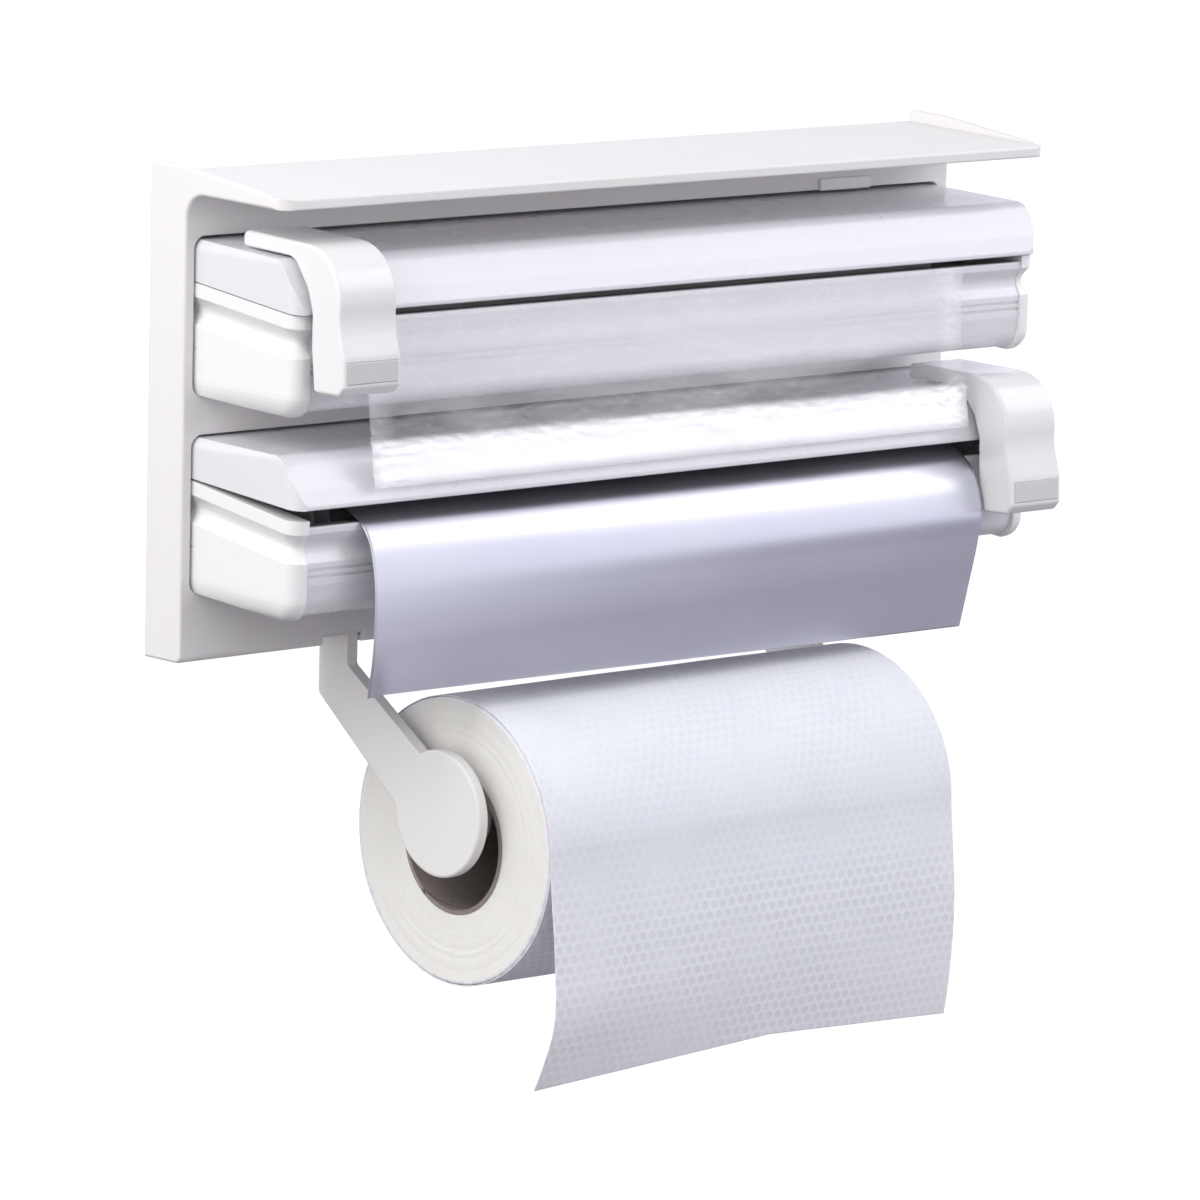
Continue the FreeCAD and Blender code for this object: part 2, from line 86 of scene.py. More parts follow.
class Net:
    """Node tree of one material, with short calls that add a node and return its output."""

    def __init__(self, name, tree=None):
        if tree is None:
            self.material = bpy.data.materials.new(name)
            self.material.use_nodes = True
            tree = self.material.node_tree
        self.tree = tree
        self.tree.nodes.clear()
        self.place = None

    def node(self, kind, inputs=(), **settings):
        made = self.tree.nodes.new("ShaderNode" + kind)
        for key, value in settings.items():
            setattr(made, key, value)
        for key, value in dict(inputs).items():
            if isinstance(value, bpy.types.NodeSocket):
                self.tree.links.new(value, made.inputs[key])
            elif value is not None:
                made.inputs[key].default_value = value
        return made

    def coords(self, scale=(1.0, 1.0, 1.0)):
        if self.place is None:
            self.place = self.node("TexCoord").outputs["Object"]
        return self.vector("MULTIPLY", self.place, scale)

    def noise(self, where, size, detail=2.0, roughness=0.5, distortion=0.0):
        """Noise whose features are about size metres across."""
        made = self.node("TexNoise", {"Vector": where, "Scale": 1.0 / size, "Detail": detail,
                                      "Roughness": roughness, "Distortion": distortion})
        return made.outputs["Fac"]

    def math(self, operation, a, b=None, clamp=False):
        return self.node("Math", {0: a, 1: b}, operation=operation, use_clamp=clamp).outputs[0]

    def vector(self, operation, a, b=None, c=None):
        made = self.node("VectorMath", {0: a, 1: b, 2: c}, operation=operation)
        return made.outputs["Value" if operation in ("LENGTH", "DOT_PRODUCT") else "Vector"]

    def range(self, value, low, high, to_low=0.0, to_high=1.0, smooth=False):
        """Value mapped from low..high to to_low..to_high, and held at both ends."""
        kind = "SMOOTHSTEP" if smooth else "LINEAR"
        made = self.node("MapRange", {"Value": value, "From Min": low, "From Max": high,
                                      "To Min": to_low, "To Max": to_high},
                         interpolation_type=kind, clamp=True)
        return made.outputs["Result"]

    def mix(self, share, a, b):
        return self.node("Mix", {0: share, 6: a, 7: b}, data_type="RGBA").outputs[2]

    def split(self, vector):
        return self.node("SeparateXYZ", {0: vector}).outputs

    def bump(self, height, depth, normal=None, strength=1.0):
        made = self.node("Bump", {"Height": height, "Distance": depth, "Strength": strength})
        if normal is not None:
            self.tree.links.new(normal, made.inputs["Normal"])
        return made.outputs["Normal"]

    def edges(self, radius):
        """Rounded normal and a 0 to 1 mask of the edges, for their wear and their painted highlight."""
        rounded = self.node("Bevel", {"Radius": radius}, samples=4).outputs["Normal"]
        flat = self.node("NewGeometry").outputs["Normal"]
        return rounded, self.range(self.vector("DOT_PRODUCT", rounded, flat), 0.995, 0.8)

    def finish(self, **inputs):
        """Principled shader with these inputs, an underscore for each space, as the material's surface."""
        named = {key.replace("_", " "): value for key, value in inputs.items()}
        shader = self.node("BsdfPrincipled", named)
        output = self.node("OutputMaterial")
        self.tree.links.new(shader.outputs[0], output.inputs["Surface"])
        return self.material


def rgb(red, green, blue, gain=1.0):
    return (red * gain, green * gain, blue * gain, 1.0)


# Lighter edge colour: partly wear, partly a painted highlight.
EDGE_WEAR_AND_HIGHLIGHT_TONE = rgb(0.97, 0.97, 0.98)
SPECK_TONE = rgb(0.35, 0.33, 0.32)
# Painted shade: a brownish grey laid into corners and recesses, and how far out it reaches.
CORNER_SHADE_TONE = rgb(0.36, 0.30, 0.30)
CORNER_SHADE_REACH = 35.0 * MM


def plastic(name, colour, roughness, edge, coat=0.15, metallic=0.0, corner_shade=0.0, peel=0.5):
    """White plastic: faint cloudiness, smudges, orange peel, edges smoothed by wear and lightened by a
    painted highlight.

    edge is the rounding of its edges, corner_shade the strength of the painted shade in its corners, peel
    the orange peel's depth.
    """
    net = Net(name)
    place = net.coords()
    rounded, wear_and_edge_highlight = net.edges(edge)
    cloud = net.noise(place, 0.11, 3.0)
    smudge = net.noise(place, 0.045, 2.0, 0.5)
    speck = net.noise(place, 0.0011, 3.0, 0.7)
    grain = net.noise(place, 0.0042, 2.0)
    warm = rgb(colour[0], colour[1] * 0.993, colour[2] * 0.975, 0.978)
    tone = net.mix(net.range(cloud, 0.2, 0.8, smooth=True), warm, colour)
    tone = net.mix(net.range(speck, 0.62, 0.8, 0.0, 0.05), tone, SPECK_TONE)
    # Painted highlight: the edges are lightened; their lower roughness, a few lines on, is wear.
    tone = net.mix(net.math("MULTIPLY", wear_and_edge_highlight, 0.35), tone, EDGE_WEAR_AND_HIGHLIGHT_TONE)
    if corner_shade:
        # Painted shade: the colour darkens towards a brownish grey where ambient occlusion finds corners
        # and recesses.
        hidden = net.node("AmbientOcclusion", {"Distance": CORNER_SHADE_REACH}, samples=6).outputs["AO"]
        tone = net.mix(net.range(hidden, 0.75, 0.15, 0.0, corner_shade), tone, CORNER_SHADE_TONE)
    rough = net.math("ADD", net.range(smudge, 0.2, 0.8, -0.012, 0.018, smooth=True), roughness)
    rough = net.math("SUBTRACT", rough, net.math("MULTIPLY", wear_and_edge_highlight, 0.06), clamp=True)
    height = net.math("ADD", net.math("MULTIPLY", grain, peel), net.math("MULTIPLY", speck, 0.12))
    normal = net.bump(height, 0.00006, rounded, 0.6)
    return net.finish(Base_Color=tone, Roughness=rough, Normal=normal, Metallic=metallic, IOR=1.49,
                      Coat_Weight=coat, Coat_Roughness=0.12, Coat_Normal=rounded,
                      Subsurface_Weight=0.08, Subsurface_Scale=0.002)


def brushed(name, colour, roughness):
    """Metal with drawn lines along X."""
    net = Net(name)
    rounded, wear_and_edge_highlight = net.edges(0.1 * MM)
    lines = net.noise(net.coords((0.03, 1.0, 1.0)), 0.0003, 4.0, 0.7)
    rough = net.range(lines, 0.2, 0.8, roughness - 0.08, roughness + 0.1)
    tone = net.mix(net.range(lines, 0.2, 0.8), rgb(*colour[:3], 0.85), colour)
    # Edges lightened: partly wear, partly a painted highlight.
    tone = net.mix(net.math("MULTIPLY", wear_and_edge_highlight, 0.5), tone, rgb(0.9, 0.9, 0.9))
    return net.finish(Base_Color=tone, Roughness=rough, Metallic=1.0,
                      Normal=net.bump(lines, 0.00002, rounded))


def strip_look(name):
    """Black felted rubber strip."""
    net = Net(name)
    fibre = net.noise(net.coords((0.35, 1.0, 1.0)), 0.0006, 6.0, 0.75)
    tone = net.mix(net.range(fibre, 0.35, 0.8), rgb(0.008, 0.008, 0.009), rgb(0.035, 0.034, 0.038))
    return net.finish(Base_Color=tone, Roughness=0.85, Normal=net.bump(fibre, 0.0002), Sheen_Weight=0.15)


PAPER_AXIS_Y = -67.5 * MM
PAPER_AXIS_Z = -165.95 * MM
CARD_LEAD = 55.0 * MM


def card_look(name):
    """Spirally wound grey cardboard."""
    net = Net(name)
    place = net.coords()
    x, y, z = net.split(place)
    turn = net.math("ARCTAN2", net.math("ADD", z, -PAPER_AXIS_Z), net.math("ADD", y, -PAPER_AXIS_Y))
    along_turns = net.math("MULTIPLY", x, 1.0 / CARD_LEAD)
    spiral = net.math("ADD", along_turns, net.math("MULTIPLY", turn, 0.5 / math.pi))
    seam = net.math("PINGPONG", spiral, 0.5)
    fibre = net.noise(place, 0.0016, 6.0, 0.7)
    patch = net.noise(place, 0.02, 3.0)
    tone = net.mix(net.range(fibre, 0.3, 0.75), rgb(0.20, 0.16, 0.145), rgb(0.34, 0.29, 0.265))
    tone = net.mix(net.range(patch, 0.35, 0.7, 0.0, 0.35), tone, rgb(0.42, 0.37, 0.34))
    tone = net.mix(net.range(seam, 0.012, 0.0), tone, rgb(0.09, 0.07, 0.065))
    height = net.math("SUBTRACT", fibre, net.range(seam, 0.02, 0.0, 0.0, 2.0))
    return net.finish(Base_Color=tone, Roughness=0.92, Normal=net.bump(height, 0.0001), Sheen_Weight=0.1)


EMBOSS_PITCH = 4.7 * MM
HEX_RISE = 0.8660254     # sine of 60 degrees
EMBOSS_WANDER = 1.6 * MM
EMBOSS_FADE_TOP = (-0.168, -0.195)
EMBOSS_FADE_LOW = (-0.262, -0.236)


def honeycomb(net, pitch):
    """0 in the middle of each pressed cell, 1 on the raised net between them. Reads UV in metres."""
    half_cell = (0.5, HEX_RISE, 0.5)
    low = (-0.5, -HEX_RISE, -0.5)
    flat = net.node("UVMap").outputs[0]
    wander = net.node("TexNoise", {"Vector": flat, "Scale": 90.0, "Detail": 2.0}).outputs["Color"]
    centred = net.vector("SUBTRACT", wander, (0.5, 0.5, 0.5))
    shift = net.vector("MULTIPLY", centred, (EMBOSS_WANDER, EMBOSS_WANDER, 0.0))
    flat = net.vector("ADD", flat, shift)
    cell = net.vector("MULTIPLY", flat, (1.0 / pitch, 1.0 / pitch, 0.0))
    first = net.vector("MULTIPLY", net.vector("WRAP", cell, half_cell, low), (1.0, 1.0, 0.0))
    moved = net.vector("SUBTRACT", cell, half_cell)
    second = net.vector("MULTIPLY", net.vector("WRAP", moved, half_cell, low), (1.0, 1.0, 0.0))
    nearer = net.math("LESS_THAN", net.vector("LENGTH", first), net.vector("LENGTH", second))
    chosen = net.node("Mix", {0: nearer, 4: second, 5: first}, data_type="VECTOR").outputs[1]
    size = net.vector("ABSOLUTE", chosen)
    slanted = net.vector("DOT_PRODUCT", size, (0.5, HEX_RISE, 0.0))
    across = net.math("MAXIMUM", slanted, net.split(size)[0])
    return net.range(across, 0.2, 0.44, smooth=True)


def paper_look(name):
    """Two-ply kitchen paper: fibres, cloudiness and a pressed honeycomb, deepest in a band low down, with
    painted shade in its pressed cells.
    """
    net = Net(name)
    place = net.coords()
    fibre = net.noise(place, 0.0011, 6.0, 0.75, 0.5)
    cloud = net.noise(place, 0.03, 4.0, 0.6)
    tone = net.mix(net.range(cloud, 0.3, 0.7), rgb(0.86, 0.845, 0.895), rgb(0.90, 0.885, 0.93))
    height = net.math("MULTIPLY", fibre, 0.35)
    raised = honeycomb(net, EMBOSS_PITCH)
    z = net.split(place)[2]
    zone = net.math("MULTIPLY", net.range(z, *EMBOSS_FADE_TOP, smooth=True),
                    net.range(z, *EMBOSS_FADE_LOW, smooth=True))
    patches = net.range(net.noise(place, 0.035, 2.0), 0.3, 0.62, 0.25, 1.0)
    pressing = net.math("MULTIPLY", patches, net.range(zone, 0.0, 1.0, 0.4, 1.0))
    # Painted shade: the pressed cells are darkened towards a lavender grey.
    pressed_cell_shade = net.math("SUBTRACT", 1.0, raised)
    tone = net.mix(net.math("MULTIPLY", pressed_cell_shade, net.math("MULTIPLY", pressing, 0.5)),
                   tone, rgb(0.66, 0.64, 0.72))
    stood = net.math("MULTIPLY", raised, net.math("MULTIPLY", pressing, 0.7))
    height = net.math("ADD", height, stood)
    tone = net.mix(net.range(fibre, 0.55, 0.8, 0.0, 0.25), tone, rgb(0.93, 0.92, 0.95))
    return net.finish(Base_Color=tone, Roughness=0.95, Normal=net.bump(height, 0.00018),
                      Sheen_Weight=0.2, Sheen_Roughness=0.6, Subsurface_Weight=0.12, Subsurface_Scale=0.003)


def roll_end_look(name):
    """Cut end of the wound paper: many fine layers, cream, with soft smears."""
    net = Net(name)
    place = net.coords()
    y, z = net.split(place)[1:]
    dy = net.math("ADD", y, -PAPER_AXIS_Y)
    dz = net.math("ADD", z, -PAPER_AXIS_Z)
    squares = net.math("ADD", net.math("MULTIPLY", dy, dy), net.math("MULTIPLY", dz, dz))
    radius = net.math("SQRT", squares)
    turn = net.math("ARCTAN2", dz, dy)
    wound = net.node("CombineXYZ", {0: net.math("MULTIPLY", radius, 60.0),
                                    1: net.math("MULTIPLY", turn, 0.16)}).outputs[0]
    layers = net.noise(wound, 0.035, 5.0, 0.8)
    smear = net.noise(place, 0.014, 4.0, 0.6)
    fibre = net.noise(place, 0.0009, 4.0, 0.7)
    tone = net.mix(net.range(layers, 0.3, 0.7), rgb(0.86, 0.845, 0.81), rgb(0.93, 0.92, 0.895))
    tone = net.mix(net.range(smear, 0.35, 0.7, 0.0, 0.5), tone, rgb(0.93, 0.925, 0.905))
    height = net.math("ADD", layers, net.math("MULTIPLY", fibre, 0.5))
    return net.finish(Base_Color=tone, Roughness=0.97, Normal=net.bump(height, 0.00025), Sheen_Weight=0.2,
                      Subsurface_Weight=0.1, Subsurface_Scale=0.003)


def foil_look(name):
    """Satin aluminium foil with fine rolling lines across the sheet."""
    net = Net(name)
    place = net.coords()
    lines = net.noise(net.coords((1.0, 0.02, 0.02)), 0.0004, 4.0, 0.7)
    broad = net.noise(place, 0.05, 3.0)
    tone = net.mix(net.range(broad, 0.3, 0.7), rgb(0.70, 0.70, 0.79), rgb(0.74, 0.74, 0.82))
    tone = net.mix(net.range(lines, 0.3, 0.7, 0.0, 0.25), tone, rgb(0.78, 0.78, 0.85))
    rough = net.math("ADD", net.range(lines, 0.2, 0.8, 0.29, 0.38),
                     net.range(broad, 0.3, 0.7, -0.02, 0.03))
    return net.finish(Base_Color=tone, Metallic=0.88, Roughness=rough, Anisotropic=0.35,
                      Normal=net.bump(lines, 0.00001))


# Where the hung film fades or turns milky: two heights or two x places, in metres, for each.
SLOT_FADE = (0.0418, 0.0405)
ON_TROUGH = (0.009, 0.015)
ON_LID = (-0.0035, -0.009)
LOW_FADE = (-0.0235, -0.0175)
LEFT_FADE = (-0.1595, -0.1525)
RIGHT_FADE = (0.1515, 0.143)
DOUBLED = (0.140, 0.155)     # from the film's middle
FILM_MIDDLE = -0.004
LID_MILK = 0.82


def film_look(name, haze, hung=False):
    """Stretch film: mostly clear, and if hung, milky where it is doubled or lies on a surface, with a faint
    painted glow, strongest on the lower lid.
    """
    net = Net(name)
    place = net.coords()
    cloud = net.noise(net.coords((0.3, 1.0, 1.0)), 0.025, 2.0, 0.5, 0.6)
    crease = net.noise(net.coords((0.35, 1.0, 1.3)), 0.012, 3.0, 0.5, 1.2)
    fold = net.range(net.math("ABSOLUTE", net.math("SUBTRACT", crease, 0.5)), 0.03, 0.0)
    alpha = net.math("ADD", net.range(cloud, 0.35, 0.7, haze - 0.06, haze + 0.1),
                     net.math("MULTIPLY", fold, 0.035))
    painted_glow = 0.0
    if hung:
        x, _, z = net.split(place)
        outside = net.range(z, *SLOT_FADE, 0.15, 1.0)
        over_trough = net.math("MULTIPLY", net.range(z, *ON_TROUGH, 0.0, 0.32, smooth=True), outside)
        over_lid = net.range(z, *ON_LID, 0.0, LID_MILK, smooth=True)
        low_edge = net.range(z, *LOW_FADE, 0.15, 1.0, smooth=True)
        left_edge = net.range(x, *LEFT_FADE, 0.4, 1.0, smooth=True)
        over_lid = net.math("MULTIPLY", over_lid, net.math("MULTIPLY", low_edge, left_edge))
        from_middle = net.math("ABSOLUTE", net.math("ADD", x, -FILM_MIDDLE))
        doubled = net.range(from_middle, *DOUBLED, 0.0, 0.14, smooth=True)
        milk = net.math("ADD", doubled, net.math("ADD", over_trough, over_lid))
        alpha = net.math("ADD", alpha, milk, clamp=True)
        right_edge = net.range(x, *RIGHT_FADE, 0.35, 1.0, smooth=True)
        alpha = net.math("MULTIPLY", alpha, net.math("MULTIPLY", outside, right_edge))
        # Painted light: the hung film glows faintly all over, most where it lies on the lower lid.
        painted_glow = net.range(over_lid, 0.0, LID_MILK, 0.08, 0.2)
    normal = net.bump(net.math("ADD", crease, net.math("MULTIPLY", fold, 0.06)), 0.0002)
    return net.finish(Base_Color=rgb(0.985, 0.98, 1.0), Roughness=0.16, IOR=1.5, Alpha=alpha, Normal=normal,
                      Specular_IOR_Level=0.9, Coat_Weight=0.6, Coat_Roughness=0.06,
                      Emission_Color=rgb(0.95, 0.95, 1.0), Emission_Strength=painted_glow)


looks = {
    "moulded_white": plastic("moulded_white", rgb(0.86, 0.85, 0.855), 0.42, 0.7 * MM,
                             coat=0.08, corner_shade=0.12),
    "case_white": plastic("case_white", rgb(0.81, 0.805, 0.855), 0.27, 0.4 * MM,
                          coat=0.3, metallic=0.04, peel=0.12),
    "cap_white": plastic("cap_white", rgb(0.91, 0.91, 0.92), 0.3, 0.5 * MM, coat=0.3),
    "cutter_white": plastic("cutter_white", rgb(0.86, 0.865, 0.885), 0.24, 0.6 * MM,
                            coat=0.45, peel=0.35),
    "label_grey": plastic("label_grey", rgb(0.70, 0.69, 0.70), 0.5, 0.3 * MM, coat=0.0, peel=0.8),
    "plug_grey": plastic("plug_grey", rgb(0.55, 0.55, 0.57), 0.45, 0.4 * MM),
    "black_strip": strip_look("black_strip"),
    "blade_steel": brushed("blade_steel", rgb(0.62, 0.62, 0.64), 0.22),
    "pin_steel": brushed("pin_steel", rgb(0.52, 0.52, 0.53), 0.34),
    "tube_card": card_look("tube_card"),
    "film_clear": film_look("film_clear", 0.55),
    "foil_silver": foil_look("foil_silver"),
    "paper_white": paper_look("paper_white"),
}
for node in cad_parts.values():
    for held in node.material_slots:
        held.material = looks[held.material.name.split(".")[0]]
film_sheet_look = film_look("film_sheet", 0.1, hung=True)
roll_end = roll_end_look("roll_end")


# ------------------------------------------------------------------ mesh helpers

def smooth_step(value, low, high):
    share = min(max((value - low) / (high - low), 0.0), 1.0)
    return share * share * (3.0 - 2.0 * share)


def along(points, share):
    """Point on a Catmull-Rom curve through the points, share 0 to 1 by point index."""
    spot = share * (len(points) - 1)
    index = min(int(spot), len(points) - 2)
    t = spot - index
    p0 = points[max(index - 1, 0)]
    p1 = points[index]
    p2 = points[index + 1]
    p3 = points[min(index + 2, len(points) - 1)]
    out = []
    for a, b, c, d in zip(p0, p1, p2, p3):
        out.append(0.5 * (2 * b + (c - a) * t + (2 * a - 5 * b + 4 * c - d) * t * t
                          + (3 * b - a - 3 * c + d) * t * t * t))
    return out


def sheet_mesh(name, columns, rows, place, look, thick):
    """Grid sheet with UV in metres, and its length down the middle.

    place(u, v) gives the point; v runs down the sheet.
    """
    points = []
    for row in range(rows + 1):
        for column in range(columns + 1):
            points.append(Vector(place(column / columns, row / rows)))
    faces = []
    stride = columns + 1
    for row in range(rows):
        for column in range(columns):
            a = row * stride + column
            faces.append((a, a + 1, a + stride + 1, a + stride))
    mesh = bpy.data.meshes.new(name)
    mesh.from_pydata([tuple(p) for p in points], [], faces)
    run = [0.0] * len(points)
    for row in range(1, rows + 1):
        for column in range(stride):
            here = row * stride + column
            run[here] = run[here - stride] + (points[here] - points[here - stride]).length
    layer = mesh.uv_layers.new(name="flat")
    for corner in mesh.loops:
        spot = corner.vertex_index
        layer.data[corner.index].uv = (points[spot].x, -run[spot])
    mesh.materials.append(look)
    mesh.shade_smooth()
    mesh.validate()
    made = bpy.data.objects.new(name, mesh)
    scene.collection.objects.link(made)
    solid = made.modifiers.new("thickness", "SOLIDIFY")
    solid.thickness = thick
    solid.offset = 0.0
    middle = stride // 2
    return made, run[-stride + middle]


# ------------------------------------------------------------------ cling film

# Section of the film in y, z, from inside the slot down over the trough and the lower lid.
FILM_PATH = [(-46.0, 55.15), (-58.0, 49.05), (-70.0, 43.05), (-75.0, 42.0), (-79.1, 41.5), (-79.4, 38.0),
             (-79.45, 33.0), (-79.5, 28.0), (-79.55, 22.0), (-79.7, 16.0), (-80.1, 10.0), (-80.7, 4.0),
             (-81.5, -2.0), (-82.6, -8.0), (-83.6, -14.0), (-84.2, -19.0), (-84.5, -22.5)]
FILM_X = (-159.5, 152.0)
FILM_THICK = 0.04 * MM


def film_point(u, v):
    """The film's section, pushed out where it hangs loose, crumpled at its ends and along the lid."""
    y, z = along(FILM_PATH, v)
    x = FILM_X[0] + (FILM_X[1] - FILM_X[0]) * u
    loose = smooth_step(z, 12.0, -3.0)
    at_edge = max(smooth_step(u, 0.10, 0.0), smooth_step(u, 0.88, 1.0))
    band = smooth_step(z, 8.0, -2.0) * smooth_step(z, -16.0, -7.0)
    spot = Vector((x * 0.045, z * 0.12, 0.0))
    slow = noise.noise(spot)
    crumple = 1.0 - abs(noise.noise(Vector((x * 0.11 + 0.9 * z * 0.05, z * 0.30, 3.0)))) * 2.6
    fine = 1.0 - abs(noise.noise(Vector((x * 0.30 - z * 0.2, z * 0.45, 7.0)))) * 2.4
    push = loose * (0.5 + 0.6 * slow) + 0.45 * loose * at_edge * max(crumple, 0.0)
    push += band * (0.55 * max(crumple, 0.0) + 0.3 * max(fine, 0.0))
    push += at_edge * smooth_step(z, 45.0, 39.0) * 0.28 * max(fine, 0.0)
    sway = at_edge * 1.2 * noise.noise(Vector((u * 3.0, z * 0.05, 11.0)))
    return ((x + sway) * MM, (y - push) * MM, z * MM)


film, film_run = sheet_mesh("cling_film_sheet", 300, 120, film_point, film_sheet_look, FILM_THICK)
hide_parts("cling_film")
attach(film, "film_cassette")
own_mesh(film)


# ------------------------------------------------------------------ foil

# Sections of the foil in y, z, at its left and at its right edge.
FOIL_LEFT = [(-46.0, -20.05), (-58.0, -25.25), (-70.0, -30.85), (-77.0, -34.25), (-81.2, -36.9),
             (-84.9, -42.0), (-87.3, -49.5), (-88.8, -58.0), (-89.4, -68.0), (-89.2, -79.0),
             (-88.8, -87.0), (-88.3, -94.5), (-87.8, -100.4)]
FOIL_RIGHT = [(-46.0, -20.05), (-58.0, -25.25), (-70.0, -30.85), (-77.0, -34.25), (-81.6, -37.3),
              (-86.2, -42.8), (-89.2, -50.0), (-90.6, -58.0), (-89.0, -66.5), (-86.9, -76.0),
              (-84.2, -86.0), (-81.6, -96.0), (-79.2, -104.8)]
FOIL_X = (-161.5, 156.5)
FOIL_THICK = 0.06 * MM


def foil_point(u, v):
    """Between the two sections, with a faint ripple and the lower left corner bent back."""
    left = along(FOIL_LEFT, v)
    far = along(FOIL_RIGHT, v)
    share = smooth_step(u, -0.35, 1.15)
    share = 0.35 * u + 0.65 * share
    y = left[0] * (1 - share) + far[0] * share
    z = left[1] * (1 - share) + far[1] * share
    x = FOIL_X[0] + (FOIL_X[1] - FOIL_X[0]) * u
    ripple = smooth_step(v, 0.35, 0.8) * 0.35 * noise.noise(Vector((u * 3.4, v * 1.6, 21.0)))
    bent = smooth_step(u, 0.03, 0.0) * smooth_step(v, 0.8, 1.0) * 1.2
    return (x * MM, (y - ripple + bent) * MM, (z - 0.8 * bent) * MM)


foil, foil_run = sheet_mesh("foil_hanging_sheet", 220, 110, foil_point, looks["foil_silver"], FOIL_THICK)
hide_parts("foil_sheet")
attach(foil, "foil_cassette")
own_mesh(foil)


# ------------------------------------------------------------------ paper roll

paper_low, paper_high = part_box("paper_winding")
ROLL_Y = (paper_low.y + paper_high.y) / 2.0
ROLL_Z = (paper_low.z + paper_high.z) / 2.0
ROLL_RADIUS = (paper_high.z - paper_low.z) / 2.0
BORE_RADIUS = 28.52 * MM
EDGE_INSET = 1.0 * MM
EDGE_DROP = 0.9 * MM
EDGE_STEPS = 3
END_RINGS = 34
END_UNEVEN = 0.35 * MM
END_DISH = 0.25 * MM
WOUND_SOFT = 0.35 * MM


def rounded_edge(end, inward, steps):
    """Profile points x, radius, part around one edge of the roll."""
    for step in steps:
        angle = math.pi / 2 * step / EDGE_STEPS
        yield (end + inward * EDGE_INSET * (1 - math.sin(angle)),
               ROLL_RADIUS - EDGE_DROP * (1 - math.cos(angle)), 0)


def end_face(end, inward, steps, seed):
    """Profile points x, radius, part across one end, whose layers stand slightly uneven."""
    for step in steps:
        share = step / END_RINGS
        radius = (ROLL_RADIUS - EDGE_DROP) * (1 - share) + BORE_RADIUS * share
        uneven = END_UNEVEN * abs(noise.noise(Vector((step * 0.9, seed, 0.0)))) + END_DISH * share
        yield (end + inward * uneven, radius, 1)


def winding_mesh(name):
    """Wound paper: one closed profile turned about the roll's axis. Part 0 is outside, 1 the ends."""
    turns = 220
    length_steps = 150
    bore_steps = 12
    left = paper_low.x
    far = paper_high.x
    profile = []
    for step in range(length_steps + 1):
        share = step / length_steps
        profile.append((left + EDGE_INSET + (far - left - 2 * EDGE_INSET) * share, ROLL_RADIUS, 0))
    profile.extend(rounded_edge(far, -1, range(1, EDGE_STEPS + 1)))
    profile.extend(end_face(far, -1, range(1, END_RINGS + 1), 5.0))
    for step in range(1, bore_steps):
        profile.append((far - (far - left) * step / bore_steps, BORE_RADIUS, 1))
    profile.extend(end_face(left, 1, range(END_RINGS, 0, -1), 9.0))
    profile.extend(rounded_edge(left, 1, range(EDGE_STEPS, 0, -1)))
    count = len(profile)
    points = []
    for turn in range(turns):
        angle = 2 * math.pi * turn / turns
        for x, radius, part in profile:
            soft = 0.0
            if part == 0:
                spot = Vector((x * 14.0, math.cos(angle) * 1.6, math.sin(angle) * 1.6))
                soft = min(-WOUND_SOFT * (0.5 + noise.noise(spot)), 0.0)
            points.append((x, ROLL_Y + (radius + soft) * math.cos(angle),
                           ROLL_Z + (radius + soft) * math.sin(angle)))
    faces = []
    marks = []
    uvs = []
    for turn in range(turns):
        following = (turn + 1) % turns
        for i in range(count):
            j = (i + 1) % count
            faces.append((turn * count + i, turn * count + j,
                          following * count + j, following * count + i))
            marks.append(1 if profile[i][2] and profile[j][2] else 0)
            a0 = 2 * math.pi * turn / turns * ROLL_RADIUS
            a1 = 2 * math.pi * (turn + 1) / turns * ROLL_RADIUS
            x0 = profile[i][0]
            x1 = profile[j][0]
            uvs.append(((x0, a0), (x1, a0), (x1, a1), (x0, a1)))
    mesh = bpy.data.meshes.new(name)
    mesh.from_pydata(points, [], faces)
    layer = mesh.uv_layers.new(name="flat")
    for face, mark, corners in zip(mesh.polygons, marks, uvs):
        face.material_index = mark
        for index, uv in zip(face.loop_indices, corners):
            layer.data[index].uv = uv
    mesh.materials.append(looks["paper_white"])
    mesh.materials.append(roll_end)
    mesh.shade_smooth()
    made = bpy.data.objects.new(name, mesh)
    scene.collection.objects.link(made)
    return made


winding = winding_mesh("paper_roll_winding")
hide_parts("paper_winding")
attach(winding, "paper_roll")

# The hanging end, in y, z, at the left and at the right edge of the paper.
TAIL_LEFT = [(-123.59, -160.05), (-123.92, -166.5), (-124.4, -173.5), (-125.2, -181.0), (-126.4, -190.5),
             (-127.4, -200.0), (-128.2, -210.0), (-128.7, -218.0), (-128.2, -226.0), (-126.4, -234.0),
             (-123.3, -242.0), (-120.0, -249.5), (-117.2, -255.0)]
TAIL_RIGHT = [(-123.59, -160.05), (-123.92, -166.5), (-124.5, -173.0), (-125.3, -180.0), (-126.1, -188.0),
              (-126.9, -196.0), (-127.3, -205.0), (-127.3, -213.0), (-126.9, -221.0), (-126.3, -229.0),
              (-125.5, -237.0), (-124.4, -244.5), (-123.3, -250.8)]
TAIL_X = (-101.2, 111.0)
TAIL_THICK = 0.35 * MM
TAIL_NICK = 0.55             # share of the width where the torn lower edge is highest
TAIL_RISE = 4.0
WRAP_SHARE = 0.72            # share of the rows that lie round the roll
WRAP_START = math.radians(6.0)
WRAP_TURN = math.radians(350.0)
WRAP_GAP = (0.12, 0.5)       # mm off the roll, at the turn's inner end and where it leaves


